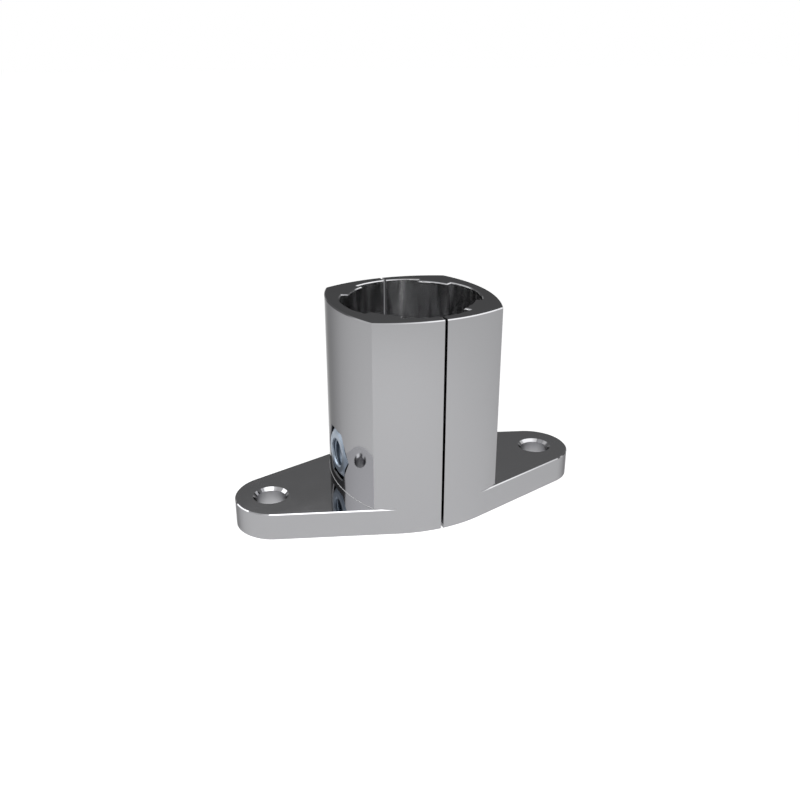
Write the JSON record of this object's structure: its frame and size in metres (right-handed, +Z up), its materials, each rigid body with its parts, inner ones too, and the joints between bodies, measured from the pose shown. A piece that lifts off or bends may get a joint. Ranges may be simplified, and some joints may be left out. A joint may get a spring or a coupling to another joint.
{
  "type": "floor anchor connector",
  "caption": "Split cast clamp that stands a round grooved tube on the floor, with an ear on each side for a floor screw and a cross screw and nut under the tube.",
  "frame": {"origin": "on the floor face, on the tube's axis, midway between the two ear holes", "axes": "+Z up along the tube's axis, +X towards the ear on the screw head's side, Y across the ears"},
  "size_m": [0.0814, 0.0356, 0.047],
  "materials": {
    "polished_casting": "polished casting",
    "plated_screw": "zinc plated",
    "plated_nut": "blue zinc plated"
  },
  "bodies": {
    "root": {"left_half_shell": "polished_casting", "right_half_shell": "polished_casting", "clamp_screw": "plated_screw", "clamp_nut": "plated_nut"}
  },
  "joints": []
}
